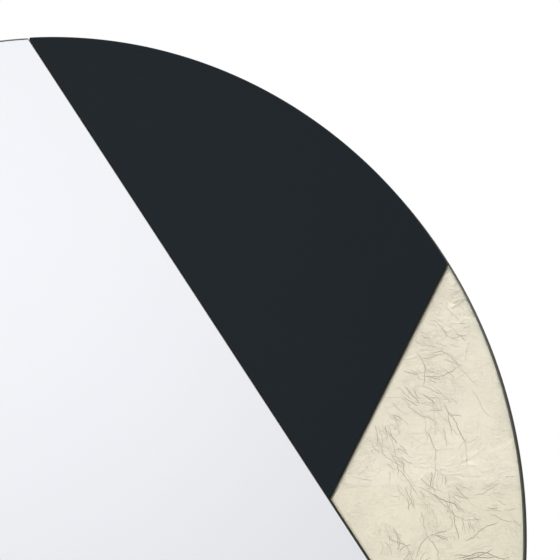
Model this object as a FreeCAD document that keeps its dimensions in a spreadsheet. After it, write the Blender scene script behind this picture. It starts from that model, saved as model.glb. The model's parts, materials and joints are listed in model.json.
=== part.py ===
"""Round wall mirror: three flat glass panels bonded to a round board, hung on a two-part aluminium rail.

Frame: millimetres, +Z up, +X to the right of someone facing the mirror, and the glass faces -Y.
The wall is the plane Y = 0. The origin is midway between the two wall screws, on the wall.
Layers, from the wall outwards: wall rail and panel rail, backing board, tape and adhesive, film, leaf, glass.
"""
import FreeCAD, Part
import math
import os
import re
import Sketcher

doc = FreeCAD.newDocument("wall_mirror")

# ---------------------------------------------------------------- driving dimensions, in mm and degrees
SIZES = {
    # the disc and its layers
    "disc_diameter": 1000.0,
    "glass_thickness": 4.0,
    "leaf_thickness": 0.3,
    "film_thickness": 0.2,
    "tape_thickness": 0.8,
    "board_thickness": 16.0,
    "band_thickness": 0.8,
    "board_setback": 0.5,
    # how the disc is divided: angles are from +X towards +Z, about the disc's centre
    "chord_top_angle": 90.0,
    "chord_low_angle": -22.5,
    "divider_arc_angle": 31.0,
    "divider_chord_share": 0.675,
    "panel_gap": 1.0,
    "black_overhang": 0.6,
    # glass edges
    "arris": 0.7,
    "corner_radius": 1.2,
    "leaf_inset": 1.0,
    "film_inset": 2.5,
    # adhesive between glass and board: foam tape strips with a bead of silicone between each two
    "adhesive_margin": 14.0,
    "tape_width": 19.0,
    "bead_width": 10.0,
    "strip_pitch": 76.0,
    "shortest_strip": 40.0,
    # the two rails, which are cut from one Z-shaped extrusion
    "rail_length": 400.0,
    "rail_thickness": 2.5,
    "rail_web": 24.0,
    "rail_lip": 12.0,
    "rail_offset": 1.0,
    "rail_play": 0.5,
    "rail_edge_radius": 0.4,
    "seat_gap": 0.3,
    "screws_above_centre": 280.0,
    "wall_hole_spacing": 300.0,
    "wall_hole_diameter": 5.5,
    # plastic stops in the ends of the wall rail
    "stop_plate": 3.0,
    "stop_tongue": 8.0,
    "stop_play": 1.0,
    "stop_chamfer": 0.8,
    # wood screws into the board
    "screw_core_diameter": 3.0,
    "screw_head_diameter": 7.0,
    "screw_head_height": 2.2,
    "screw_crown": 0.6,
    "screw_bite": 7.0,
    "screw_clearance": 0.25,
    "recess_length": 3.6,
    "recess_width": 0.9,
    "recess_depth": 1.2,
    "panel_screw_pitch": 110.0,
    # lower batten and its wall pads
    "batten_length": 300.0,
    "batten_height": 40.0,
    "batten_thickness": 3.0,
    "batten_chamfer": 0.8,
    "batten_below_centre": 300.0,
    "batten_screw_spacing": 180.0,
    "pad_diameter": 24.0,
    "pad_spacing": 250.0,
    "pad_chamfer": 0.6,
}
PANEL_SCREWS = 4

sheet = doc.addObject("Spreadsheet::Sheet", "Sizes")
for row, (alias, number) in enumerate(SIZES.items(), start=1):
    sheet.set(f"A{row}", alias)
    sheet.set(f"B{row}", str(number))
    sheet.setAlias(f"B{row}", alias)
doc.recompute()

# ---------------------------------------------------------------- formulas shared by several sub-parts
RADIUS = "disc_diameter / 2"
CHORD_HALF_ANGLE = "(chord_top_angle - chord_low_angle) / 2"
CHORD_NORMAL = "(chord_top_angle + chord_low_angle) / 2"
CHORD_OFFSET = f"{RADIUS} * cos({CHORD_HALF_ANGLE})"
# the divider runs from the rim to a point on the chord, this far past the chord's middle
PAST_MIDDLE = f"(divider_chord_share - 0.5) * disc_diameter * sin({CHORD_HALF_ANGLE})"
JUNCTION_X = f"({CHORD_OFFSET} * cos({CHORD_NORMAL}) + {PAST_MIDDLE} * sin({CHORD_NORMAL}))"
JUNCTION_Z = f"({CHORD_OFFSET} * sin({CHORD_NORMAL}) - {PAST_MIDDLE} * cos({CHORD_NORMAL}))"
DIVIDER_RIM_X = f"{RADIUS} * cos(divider_arc_angle)"
DIVIDER_RIM_Z = f"{RADIUS} * sin(divider_arc_angle)"
DIVIDER_NORMAL = f"(atan(({DIVIDER_RIM_Z} - {JUNCTION_Z}) / ({DIVIDER_RIM_X} - {JUNCTION_X})) / 1 deg - 90)"
DIVIDER_OFFSET = f"({DIVIDER_RIM_X} * cos({DIVIDER_NORMAL}) + {DIVIDER_RIM_Z} * sin({DIVIDER_NORMAL}))"

# depths behind the wall plane, as positive distances towards the room
RAIL_DEPTH = "(2 * rail_thickness + 2 * rail_offset - rail_play)"
BOARD_FRONT = f"({RAIL_DEPTH} + board_thickness)"
FILM_BACK = f"({BOARD_FRONT} + tape_thickness)"
GLASS_BACK = f"({FILM_BACK} + film_thickness)"
CENTRE_Z = "-screws_above_centre"
PANEL_SHELF_Z = "(rail_web / 2 + rail_lip + seat_gap)"


def full(formula):
    """The formula with each size's name pointed at its cell in the sheet."""
    return re.sub(r"[a-z_]+", lambda word: f"Sizes.{word[0]}" if word[0] in SIZES else word[0], formula)


def value(formula):
    """The formula's number now."""
    found = sheet.evalExpression(full(formula))
    return float(getattr(found, "Value", found))


def bind(part, name, formula):
    part.setExpression(name, full(formula))


def place(part, x="0", y="0", z="0"):
    for axis, formula in zip("xyz", (x, y, z)):
        bind(part, f"Placement.Base.{axis}", formula)


# ---------------------------------------------------------------- making bodies and sketches
def new_body(name):
    body = doc.addObject("PartDesign::Body", name)
    body.Label = name
    return body


def new_sketch(body, name, role):
    """An empty sketch on one of the body's own origin planes."""
    plane = next(feature for feature in body.Origin.OriginFeatures if feature.Role == role)
    sketch = body.newObject("Sketcher::SketchObject", f"{body.Name}_{name}")
    sketch.AttachmentSupport = [(plane, "")]
    sketch.MapMode = "FlatFace"
    return sketch


def fix(sketch, kind, where, formula, name):
    """Adds a dimension to the sketch and binds it to its formula."""
    number = value(formula)
    if kind == "Angle":
        number = math.radians(number)
    sketch.addConstraint(Sketcher.Constraint(kind, *where, number))
    sketch.renameConstraint(sketch.ConstraintCount - 1, name)
    bind(sketch, f"Constraints.{name}", formula)


def add_polygon(sketch, corners):
    """A closed outline. Each corner is a pair of formulas and is held by its own two dimensions."""
    places = [FreeCAD.Vector(value(x), value(y), 0) for x, y in corners]
    lines = []
    for start, end in zip(places, places[1:] + places[:1]):
        lines.append(sketch.addGeometry(Part.LineSegment(start, end), False))
    for line, following in zip(lines, lines[1:] + lines[:1]):
        sketch.addConstraint(Sketcher.Constraint("Coincident", line, 2, following, 1))
    for line, (x, y) in zip(lines, corners):
        fix(sketch, "DistanceX", (-1, 1, line, 1), x, f"x{line}")
        fix(sketch, "DistanceY", (-1, 1, line, 1), y, f"y{line}")
    return lines


def add_circle(sketch, x, y, diameter):
    """A circle held by its centre and diameter, all formulas."""
    centre = FreeCAD.Vector(value(x), value(y), 0)
    circle = sketch.addGeometry(Part.Circle(centre, FreeCAD.Vector(0, 0, 1), value(diameter) / 2), False)
    fix(sketch, "Diameter", (circle,), diameter, f"diameter{circle}")
    fix(sketch, "DistanceX", (-1, 1, circle, 3), x, f"x{circle}")
    fix(sketch, "DistanceY", (-1, 1, circle, 3), y, f"y{circle}")
    return circle


def pad(body, sketch, formula, symmetric=False):
    feature = body.newObject("PartDesign::Pad", f"{sketch.Name}_pad")
    feature.Profile = sketch
    if symmetric:
        feature.SideType = "Symmetric"
    bind(feature, "Length", formula)
    doc.recompute()
    return feature


def pocket(body, sketch, formula):
    """Cuts the sketch into the solid along the sketch's normal, and makes sure that it removed material."""
    before = body.Shape.Volume
    feature = body.newObject("PartDesign::Pocket", f"{sketch.Name}_pocket")
    feature.Profile = sketch
    feature.Reversed = True
    bind(feature, "Length", formula)
    doc.recompute()
    if not body.Shape.Volume < before - 0.01:
        raise RuntimeError(f"{feature.Name} cut nothing")
    return feature


def dress(body, kind, names, size_name, formula):
    """A chamfer or fillet on the named edges or faces of the body's tip."""
    dressed = body.Tip
    feature = body.newObject(f"PartDesign::{kind}", f"{body.Name}_{kind.lower()}")
    feature.Base = (dressed, names)
    bind(feature, size_name, formula)
    doc.recompute()
    return feature


def flat_faces_across_y(shape):
    """The names of the faces square to Y."""
    names = []
    for number, face in enumerate(shape.Faces, start=1):
        if isinstance(face.Surface, Part.Plane) and abs(face.normalAt(0, 0).y) > 0.999:
            names.append(f"Face{number}")
    return names


def edges_through(shape, places):
    """The names of the straight edges along X that pass through places given as formulas for Y and Z."""
    wanted = [(value(y), value(z)) for y, z in places]
    names = []
    for number, edge in enumerate(shape.Edges, start=1):
        if isinstance(edge.Curve, Part.Line) and abs(edge.Curve.Direction.x) > 0.999:
            point = edge.CenterOfMass
            if any(math.hypot(point.y - y, point.z - z) < 0.001 for y, z in wanted):
                names.append(f"Edge{number}")
    return names


def edges_along_y(shape):
    """The names of the straight edges that run along Y."""
    names = []
    for number, edge in enumerate(shape.Edges, start=1):
        if isinstance(edge.Curve, Part.Line) and abs(edge.Curve.Direction.y) > 0.999:
            names.append(f"Edge{number}")
    return names


def group(name, pieces):
    """Separate identical solids that share one node."""
    compound = doc.addObject("Part::Compound", name)
    compound.Label = name
    compound.Links = pieces
    return compound


# ---------------------------------------------------------------- the glass panels and their layers
def side_of(normal, offset, step):
    """A straight side: its normal's angle, its distance from the disc's centre, and which way is inwards."""
    return {"normal": normal, "offset": offset, "step": step}


# Each panel goes anticlockwise along its straight sides and then along the rim from "end" back to "start".
PANELS = {
    "mirror": {
        "sides": [side_of(CHORD_NORMAL, CHORD_OFFSET, "-")],
        "start": "chord_low_angle",
        "end": "chord_top_angle",
        "rim": RADIUS,
    },
    "black": {
        "sides": [side_of(CHORD_NORMAL, CHORD_OFFSET, "+"), side_of(DIVIDER_NORMAL, DIVIDER_OFFSET, "-")],
        "start": "chord_top_angle",
        "end": "divider_arc_angle",
        "rim": f"({RADIUS} + black_overhang)",
    },
    "leaf": {
        "sides": [side_of(DIVIDER_NORMAL, DIVIDER_OFFSET, "+"), side_of(CHORD_NORMAL, CHORD_OFFSET, "+")],
        "start": "divider_arc_angle",
        "end": "chord_low_angle",
        "rim": RADIUS,
    },
}


def side_offset(side, inset):
    """How far the side is from the disc's centre, once half the gap and the inset are taken off the panel."""
    return f"({side['offset']} {side['step']} (panel_gap / 2 + {inset}))"


def meet_rim(side, inset, rim, near_angle):
    """Where a side meets the rim, on the end nearest to an angle."""
    normal = math.radians(value(side["normal"]))
    offset = value(side_offset(side, inset))
    half = math.sqrt(value(rim) ** 2 - offset ** 2)
    target = math.radians(value(near_angle))
    ends = []
    for along in (-half, half):
        x = offset * math.cos(normal) - along * math.sin(normal)
        y = offset * math.sin(normal) + along * math.cos(normal)
        ends.append(FreeCAD.Vector(x, y, 0))
    return max(ends, key=lambda end: end.x * math.cos(target) + end.y * math.sin(target))


def meet_side(first, second, inset):
    """Where two sides meet."""
    angle_a = math.radians(value(first["normal"]))
    angle_b = math.radians(value(second["normal"]))
    offset_a = value(side_offset(first, inset))
    offset_b = value(side_offset(second, inset))
    scale = math.sin(angle_b - angle_a)
    x = (offset_a * math.sin(angle_b) - offset_b * math.sin(angle_a)) / scale
    y = (offset_b * math.cos(angle_a) - offset_a * math.cos(angle_b)) / scale
    return FreeCAD.Vector(x, y, 0)


def add_panel_outline(sketch, panel, inset):
    """The panel's sides and its arc of the rim, all moved in by the inset."""
    sides = panel["sides"]
    rim = f"({panel['rim']} - {inset})"
    corners = [meet_rim(sides[0], inset, rim, panel["start"])]
    for first, second in zip(sides, sides[1:]):
        corners.append(meet_side(first, second, inset))
    corners.append(meet_rim(sides[-1], inset, rim, panel["end"]))
    lines = []
    for start, end in zip(corners, corners[1:]):
        lines.append(sketch.addGeometry(Part.LineSegment(start, end), False))
    arc_start = math.atan2(corners[-1].y, corners[-1].x)
    arc_end = math.atan2(corners[0].y, corners[0].x)
    if arc_end < arc_start:
        arc_end += 2 * math.pi
    circle = Part.Circle(FreeCAD.Vector(0, 0, 0), FreeCAD.Vector(0, 0, 1), value(rim))
    arc = sketch.addGeometry(Part.ArcOfCircle(circle, arc_start, arc_end), False)
    sketch.addConstraint(Sketcher.Constraint("Coincident", arc, 3, -1, 1))
    for line, following in zip(lines, lines[1:]):
        sketch.addConstraint(Sketcher.Constraint("Coincident", line, 2, following, 1))
    sketch.addConstraint(Sketcher.Constraint("Coincident", lines[-1], 2, arc, 1))
    sketch.addConstraint(Sketcher.Constraint("Coincident", arc, 2, lines[0], 1))
    fix(sketch, "Radius", (arc,), rim, "rim")
    for line, side in zip(lines, sides):
        offset = side_offset(side, inset)
        fix(sketch, "Distance", (-1, 1, line), offset, f"offset{line}")
        way = sketch.Geometry[line].EndPoint - sketch.Geometry[line].StartPoint
        direction = math.degrees(math.atan2(way.y, way.x))
        turn = round((direction - value(side["normal"])) / 90) * 90
        fix(sketch, "Angle", (line,), f"({side['normal']} + {turn})", f"angle{line}")


def panel_layer(name, panel, inset, thickness, back):
    """One flat layer of a panel, from its back face towards the room."""
    body = new_body(name)
    sketch = new_sketch(body, "outline", "XZ_Plane")
    add_panel_outline(sketch, PANELS[panel], inset)
    pad(body, sketch, thickness)
    place(body, y=f"-{back}", z=CENTRE_Z)
    return body


def glass(panel):
    """A float glass panel with dubbed corners and a ground arris round both faces."""
    body = panel_layer(f"{panel}_glass", panel, "0", "glass_thickness", GLASS_BACK)
    dress(body, "Fillet", edges_along_y(body.Shape), "Radius", "corner_radius")
    dress(body, "Chamfer", flat_faces_across_y(body.Shape), "Size", "arris")
    return body


def leaf_sheet():
    """The creased metal leaf on the back of its glass, with the lacquer that seals it, as one flat layer."""
    back = f"({GLASS_BACK} - leaf_thickness)"
    return panel_layer("leaf_sheet", "leaf", "leaf_inset", "leaf_thickness", back)


def safety_film(panel):
    """The plastic film that covers the back of a panel. On the leaf panel it lies behind the leaf."""
    back = f"({FILM_BACK} - leaf_thickness)" if panel == "leaf" else FILM_BACK
    return panel_layer(f"{panel}_safety_film", panel, "film_inset", "film_thickness", back)


# ---------------------------------------------------------------- tape strips and silicone beads
def height_at(side, across, inset):
    """The height at which a side passes a place across the disc."""
    return f"(({side_offset(side, inset)} - {across} * cos({side['normal']})) / sin({side['normal']}))"


def strip_ends(panel, across, width):
    """The lowest and highest point of an upright strip that stays inside the panel by the margin."""
    left = f"({across} - {width} / 2)"
    right = f"({across} + {width} / 2)"
    outer = right if value(across) > 0 else left
    reach = f"sqrt(({RADIUS} - adhesive_margin) ^ 2 - {outer} ^ 2)"
    lows = [f"-{reach}"]
    highs = [reach]
    for side in panel["sides"]:
        tilt = math.sin(math.radians(value(side["normal"])))
        inwards_is_up = (side["step"] == "+") == (tilt > 0)
        for edge in (left, right):
            (lows if inwards_is_up else highs).append(height_at(side, edge, "adhesive_margin"))
    return f"max({'; '.join(lows)})", f"min({'; '.join(highs)})"


def adhesive_strips(name, panel_name, width, first_step):
    """Upright strips between the film and the board, one each pitch, wherever the panel is tall enough."""
    panel = PANELS[panel_name]
    reach = value(f"{RADIUS} - adhesive_margin - {width} / 2")
    steps = int(reach / value("strip_pitch"))
    depth = f"({FILM_BACK} - {BOARD_FRONT}" + (" - leaf_thickness)" if panel_name == "leaf" else ")")
    strips = []
    for number in range(-steps, steps + 1):
        across = f"(({number} + {first_step}) * strip_pitch)"
        if abs(value(across)) > reach:
            continue
        low, high = strip_ends(panel, across, width)
        if value(high) - value(low) < value("shortest_strip"):
            continue
        strip = doc.addObject("Part::Box", f"{name}_{len(strips) + 1}")
        bind(strip, "Length", width)
        bind(strip, "Width", depth)
        bind(strip, "Height", f"{high} - {low}")
        place(strip, f"{across} - {width} / 2", f"-{BOARD_FRONT} - {depth}", f"{CENTRE_Z} + {low}")
        strips.append(strip)
    return group(name, strips)


# ---------------------------------------------------------------- backing board
def panel_screw_places():
    """Across and above the origin, for the screws of the panel rail."""
    height = f"({PANEL_SHELF_Z} + rail_web / 2)"
    steps = [number - (PANEL_SCREWS - 1) / 2 for number in range(PANEL_SCREWS)]
    return [(f"({step} * panel_screw_pitch)", height) for step in steps]


def batten_screw_places():
    height = f"({CENTRE_Z} - batten_below_centre)"
    return [(f"({sign} * batten_screw_spacing / 2)", height) for sign in (-1, 1)]


def backing_board():
    """The round board, with a pilot hole in its back for each screw."""
    body = new_body("backing_board")
    outline = new_sketch(body, "outline", "XZ_Plane")
    add_circle(outline, "0", "0", "(disc_diameter - 2 * board_setback - 2 * band_thickness)")
    pad(body, outline, "board_thickness")
    pilots = new_sketch(body, "pilots", "XZ_Plane")
    for across, height in panel_screw_places() + batten_screw_places():
        add_circle(pilots, across, f"({height} - {CENTRE_Z})", "screw_core_diameter")
    pocket(body, pilots, "screw_bite")
    place(body, y=f"-{RAIL_DEPTH}", z=CENTRE_Z)
    return body


def edge_band():
    """The plastic band glued round the board's edge."""
    body = new_body("edge_band")
    sketch = new_sketch(body, "outline", "XZ_Plane")
    add_circle(sketch, "0", "0", "(disc_diameter - 2 * board_setback)")
    add_circle(sketch, "0", "0", "(disc_diameter - 2 * board_setback - 2 * band_thickness)")
    pad(body, sketch, "board_thickness")
    place(body, y=f"-{RAIL_DEPTH}", z=CENTRE_Z)
    return body


# ---------------------------------------------------------------- rails
def rail(name, length, hole_places, hole_diameter):
    """A length of the Z-shaped extrusion: web against its support, lip standing off it and pointing up."""
    body = new_body(name)
    profile = new_sketch(body, "profile", "YZ_Plane")
    shelf = "(rail_web / 2 - rail_thickness)"
    lip_inside = "-(rail_thickness + rail_offset)"
    lip_outside = "-(2 * rail_thickness + rail_offset)"
    lip_top = "(rail_web / 2 + rail_lip)"
    web_foot = [("0", "-rail_web / 2"), ("-rail_thickness", "-rail_web / 2")]
    lip_end = [(lip_inside, lip_top), (lip_outside, lip_top)]
    add_polygon(profile, [
        web_foot[0],
        ("0", "rail_web / 2"),
        (lip_inside, "rail_web / 2"),
        *lip_end,
        (lip_outside, shelf),
        ("-rail_thickness", shelf),
        web_foot[1],
    ])
    pad(body, profile, length, symmetric=True)
    long_edges = edges_through(body.Shape, web_foot + lip_end)
    dress(body, "Fillet", long_edges, "Radius", "rail_edge_radius")
    holes = new_sketch(body, "holes", "XZ_Plane")
    for across, height in hole_places:
        add_circle(holes, across, height, hole_diameter)
    pocket(body, holes, "rail_thickness")
    return body


def wall_rail():
    places = [(f"({sign} * wall_hole_spacing / 2)", "0") for sign in (-1, 1)]
    return rail("wall_rail", "rail_length", places, "wall_hole_diameter")


def panel_rail():
    """The same extrusion upside down, screwed to the board. Its lip drops behind the wall rail's."""
    length = "(rail_length - 2 * stop_tongue - 2 * stop_play)"
    places = [(across, "0") for across, _ in panel_screw_places()]
    body = rail("panel_rail", length, places, "(screw_core_diameter + 2 * screw_clearance)")
    body.Placement.Rotation = FreeCAD.Rotation(FreeCAD.Vector(1, 0, 0), 180)
    place(body, y=f"-{RAIL_DEPTH}", z=f"{PANEL_SHELF_Z} + rail_web / 2")
    return body


def rail_stop(name, sign):
    """A plastic stop: a chamfered plate on the rail's end, and a tongue in the slot behind its lip."""
    body = new_body(name)
    slot = "(rail_thickness + rail_offset)"
    depth = "(2 * rail_thickness + rail_offset)"
    foot = "-rail_web / 2"
    shelf = "rail_web / 2"
    top = "(rail_web / 2 + rail_lip)"
    plate = new_sketch(body, "plate", "YZ_Plane")
    add_polygon(plate, [("0", foot), ("0", top), (f"-{depth}", top), (f"-{depth}", foot)])
    pad(body, plate, "stop_plate").Reversed = sign < 0
    doc.recompute()
    outwards = [sign * face.CenterOfMass.x for face in body.Shape.Faces]
    outer_face = outwards.index(max(outwards)) + 1
    dress(body, "Chamfer", [f"Face{outer_face}"], "Size", "stop_chamfer")
    tongue = new_sketch(body, "tongue", "YZ_Plane")
    add_polygon(tongue, [("0", shelf), ("0", top), (f"-{slot}", top), (f"-{slot}", shelf)])
    pad(body, tongue, "stop_tongue").Reversed = sign > 0
    place(body, x=f"{sign} * rail_length / 2")
    return body


# ---------------------------------------------------------------- screws
def screw(name, across, height, seat_thickness):
    """A pan-head wood screw with a cross recess. Its head sits on a piece of this thickness."""
    body = new_body(name)
    core = "screw_core_diameter / 2"
    head = "screw_head_diameter / 2"
    tip = f"-({seat_thickness} + screw_bite)"
    profile = new_sketch(body, "profile", "XY_Plane")
    add_polygon(profile, [
        ("0", tip),
        (core, tip),
        (core, "0"),
        (head, "0"),
        (head, "screw_head_height - screw_crown"),
        (f"{head} - screw_crown", "screw_head_height"),
        ("0", "screw_head_height"),
    ])
    turned = body.newObject("PartDesign::Revolution", f"{name}_turned")
    turned.Profile = profile
    turned.ReferenceAxis = (profile, ["V_Axis"])
    turned.Angle = 360
    doc.recompute()
    recess = new_sketch(body, "recess", "XZ_Plane")
    bind(recess, "AttachmentOffset.Base.z", "-screw_head_height")
    add_cross(recess, "recess_length / 2", "recess_width / 2")
    pocket(body, recess, "recess_depth")
    place(body, across, f"-{RAIL_DEPTH} + {seat_thickness}", height)
    return body


def add_cross(sketch, reach, half_width):
    """An upright cross about the sketch's origin."""
    arm = [(half_width, half_width), (reach, half_width), (reach, f"-{half_width}")]
    corners = []
    for _ in range(4):
        corners += arm
        arm = [(y, negative(x)) for x, y in arm]
    add_polygon(sketch, corners)


def negative(formula):
    return formula[1:] if formula.startswith("-") else f"-{formula}"


def screw_group(name, places, seat_thickness):
    screws = []
    for number, (across, height) in enumerate(places, start=1):
        screws.append(screw(f"{name}_{number}", across, height, seat_thickness))
    return group(name, screws)


# ---------------------------------------------------------------- lower batten and its pads
def spacer_batten():
    """A thin batten that keeps the mirror's lower half as far from the wall as its upper half."""
    body = new_body("spacer_batten")
    outline = new_sketch(body, "outline", "XZ_Plane")
    half_length = "batten_length / 2"
    half_height = "batten_height / 2"
    add_polygon(outline, [
        (half_length, half_height),
        (f"-{half_length}", half_height),
        (f"-{half_length}", f"-{half_height}"),
        (half_length, f"-{half_height}"),
    ])
    pad(body, outline, "batten_thickness")
    wall_side = edges_through(body.Shape, [("0", half_height), ("0", f"-{half_height}")])
    dress(body, "Chamfer", wall_side, "Size", "batten_chamfer")
    holes = new_sketch(body, "holes", "XZ_Plane")
    for across, _ in batten_screw_places():
        add_circle(holes, across, "0", "(screw_core_diameter + 2 * screw_clearance)")
    pocket(body, holes, "batten_thickness")
    place(body, y=f"-{RAIL_DEPTH} + batten_thickness", z=f"{CENTRE_Z} - batten_below_centre")
    return body


def wall_pad(name, across):
    """A soft round pad between the batten and the wall."""
    body = new_body(name)
    outline = new_sketch(body, "outline", "XZ_Plane")
    add_circle(outline, "0", "0", "pad_diameter")
    pad(body, outline, f"{RAIL_DEPTH} - batten_thickness")
    rim = []
    for number, edge in enumerate(body.Shape.Edges, start=1):
        if isinstance(edge.Curve, Part.Circle) and abs(edge.Curve.Center.y) < 0.001:
            rim.append(f"Edge{number}")
    dress(body, "Chamfer", rim, "Size", "pad_chamfer")
    place(body, x=across, z=f"{CENTRE_Z} - batten_below_centre")
    return body


def wall_pads():
    return group("wall_pads", [
        wall_pad("wall_pad_left", "-pad_spacing / 2"),
        wall_pad("wall_pad_right", "pad_spacing / 2"),
    ])


# ---------------------------------------------------------------- the whole mirror
sub_parts = [wall_rail(), rail_stop("left_rail_stop", -1), rail_stop("right_rail_stop", 1)]
sub_parts += [backing_board(), edge_band(), leaf_sheet()]
for panel_name in PANELS:
    sub_parts.append(glass(panel_name))
    sub_parts.append(safety_film(panel_name))
    sub_parts.append(adhesive_strips(f"{panel_name}_tape", panel_name, "tape_width", "0"))
    sub_parts.append(adhesive_strips(f"{panel_name}_adhesive", panel_name, "bead_width", "0.5"))
sub_parts.append(panel_rail())
sub_parts.append(screw_group("panel_rail_screws", panel_screw_places(), "rail_thickness"))
sub_parts.append(spacer_batten())
sub_parts.append(screw_group("batten_screws", batten_screw_places(), "batten_thickness"))
sub_parts.append(wall_pads())
doc.recompute()

for part in doc.Objects:
    if "Invalid" in part.State or "Error" in part.State:
        raise RuntimeError(f"{part.Name} failed: {part.State}")
for part in sub_parts:
    if part.Shape.isNull() or not part.Shape.isValid():
        raise RuntimeError(f"{part.Label} has no valid shape")

os.makedirs("parts", exist_ok=True)
for part in sub_parts:
    part.Shape.exportStep(f"parts/{part.Label}.step")
    print(part.Label, len(part.Shape.Solids), "solids", round(part.Shape.Volume), "mm3")
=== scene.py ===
import bpy
import json
import math
import random
import numpy as np
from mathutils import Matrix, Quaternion, Vector, geometry

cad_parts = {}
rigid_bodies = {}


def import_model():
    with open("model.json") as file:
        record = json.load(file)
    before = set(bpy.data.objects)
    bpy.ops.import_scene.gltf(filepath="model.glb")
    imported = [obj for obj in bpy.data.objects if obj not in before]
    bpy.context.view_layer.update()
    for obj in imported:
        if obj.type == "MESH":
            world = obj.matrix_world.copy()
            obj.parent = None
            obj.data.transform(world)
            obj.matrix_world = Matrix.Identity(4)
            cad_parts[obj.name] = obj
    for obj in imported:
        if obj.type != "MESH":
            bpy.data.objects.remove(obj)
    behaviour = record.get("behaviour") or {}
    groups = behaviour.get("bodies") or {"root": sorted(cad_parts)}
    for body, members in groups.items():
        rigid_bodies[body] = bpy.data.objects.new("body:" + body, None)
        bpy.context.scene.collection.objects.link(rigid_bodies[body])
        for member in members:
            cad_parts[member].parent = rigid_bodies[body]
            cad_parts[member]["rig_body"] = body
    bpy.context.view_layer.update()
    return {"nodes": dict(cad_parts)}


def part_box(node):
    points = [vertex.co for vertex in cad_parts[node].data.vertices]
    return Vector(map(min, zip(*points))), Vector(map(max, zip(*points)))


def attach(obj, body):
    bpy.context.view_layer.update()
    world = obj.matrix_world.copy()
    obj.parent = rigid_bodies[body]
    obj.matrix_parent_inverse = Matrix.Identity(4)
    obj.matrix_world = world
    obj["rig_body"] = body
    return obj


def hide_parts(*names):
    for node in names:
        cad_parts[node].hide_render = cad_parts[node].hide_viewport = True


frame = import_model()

MM = 0.001

# ---------------- sizes
# How the disc is cut: the ends of the long joint and the outer end of the short one, in degrees above level,
# and the share of the long joint that lies above the short one.
CHORD_TOP = 90.0
CHORD_LOW = -22.5
DIVIDER_ARC = 31.0
DIVIDER_SHARE = 0.675
PANEL_GAP = 1.0 * MM
CORNER_RADIUS = 1.2 * MM
# the width of the ground corner round a pane's faces
ARRIS = 0.5 * MM
# the leaf stops this far short of the edge of its pane
LEAF_INSET = 0.5 * MM
RIM_STEP = math.radians(0.25)
CORNER_STEPS = 5


def node_points(name):
    """A CAD node's vertices, as an array."""
    return np.array([vertex.co for vertex in frame["nodes"][name].data.vertices])


def middle_height(name):
    """The height of the middle of a round ring, from the circles that its vertices lie on."""
    points = node_points(name)
    across, up = points[:, 0], points[:, 2]
    rows = np.stack([2 * across, 2 * up, np.ones(len(points))], axis=1)
    return float(np.linalg.lstsq(rows, across ** 2 + up ** 2, rcond=None)[0][1])


CENTRE_Z = middle_height("edge_band")


def reach(name):
    """The distance from the middle of the disc to the furthest vertex of a node."""
    points = node_points(name)
    return float(np.hypot(points[:, 0], points[:, 2] - CENTRE_Z).max())


RADIUS = reach("mirror_glass")
BLACK_RADIUS = reach("black_glass")
BOARD_RADIUS = reach("backing_board")
BAND_RADIUS = reach("edge_band")
GLASS_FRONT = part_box("mirror_glass")[0].y
GLASS_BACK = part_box("mirror_glass")[1].y
# a pane ends this far short of its CAD back, which is also the front of the film behind it
FACE_CLEARANCE = 0.02 * MM
LEAF_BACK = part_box("leaf_sheet")[1].y
BOARD_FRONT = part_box("backing_board")[0].y
BOARD_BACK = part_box("backing_board")[1].y


# ---------------- studio: camera, light, floor
# from the middle of the disc's front to the camera
VIEW_FROM = Vector((1.841, -5.014, -0.121)) * RADIUS
# the place on the disc that the camera is aimed at, as a share of the radius and an angle above level
AIM_SHARE = 0.721
AIM_ANGLE = math.radians(43.16)
FIELD_OF_VIEW = math.radians(11.915)
CAMERA_ROLL = math.radians(0.06)
CLIP_NEAR = 0.01
CLIP_FAR = 100.0
FLOOR_DROP = 1.5
FLOOR_HALF = 30.0


def disc_point(x, z, y):
    """A place in the plane of the disc, in the frame."""
    return Vector((x, y, CENTRE_Z + z))


def make_camera():
    """A long lens to the right of the mirror, a little below its middle, aimed at its upper right part."""
    camera = bpy.data.objects.new("camera", bpy.data.cameras.new("camera"))
    bpy.context.scene.collection.objects.link(camera)
    bpy.context.scene.camera = camera
    camera.data.angle = FIELD_OF_VIEW
    camera.location = disc_point(0, 0, GLASS_FRONT) + VIEW_FROM
    aim_x = AIM_SHARE * RADIUS * math.cos(AIM_ANGLE)
    aim_z = AIM_SHARE * RADIUS * math.sin(AIM_ANGLE)
    aim = disc_point(aim_x, aim_z, GLASS_FRONT)
    camera.rotation_mode = "QUATERNION"
    level = (aim - camera.location).to_track_quat("-Z", "Y")
    camera.rotation_quaternion = level @ Quaternion((0, 0, 1), CAMERA_ROLL)
    camera.data.clip_start = CLIP_NEAR
    camera.data.clip_end = CLIP_FAR


def sky_direction(left, up):
    """The direction that many degrees to the left of straight out from the glass, and that many up."""
    left, up = math.radians(left), math.radians(up)
    return Vector((-math.sin(left) * math.cos(up), -math.cos(left) * math.cos(up), math.sin(up)))


# A glow overhead lights the leaf. A bloom in front of the glass shows in the mirror panel.
OVERHEAD = sky_direction(25.0, 64.0)
OVERHEAD_WIDTH = math.radians(13.0)
OVERHEAD_LEVEL = 18.2
BLOOM = sky_direction(22.0, 8.0)
BLOOM_WIDTH = math.radians(10.8)
BLOOM_LEVEL = 0.423
# The sky's level out to the dim edge, and from the far edge on, by the angle from the bloom.
DIM_LEVEL = 0.62
FAR_LEVEL = 0.90
DIM_EDGE = math.radians(28.0)
FAR_EDGE = math.radians(52.0)
WHITE = (1.0, 1.0, 1.0, 1.0)


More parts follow.
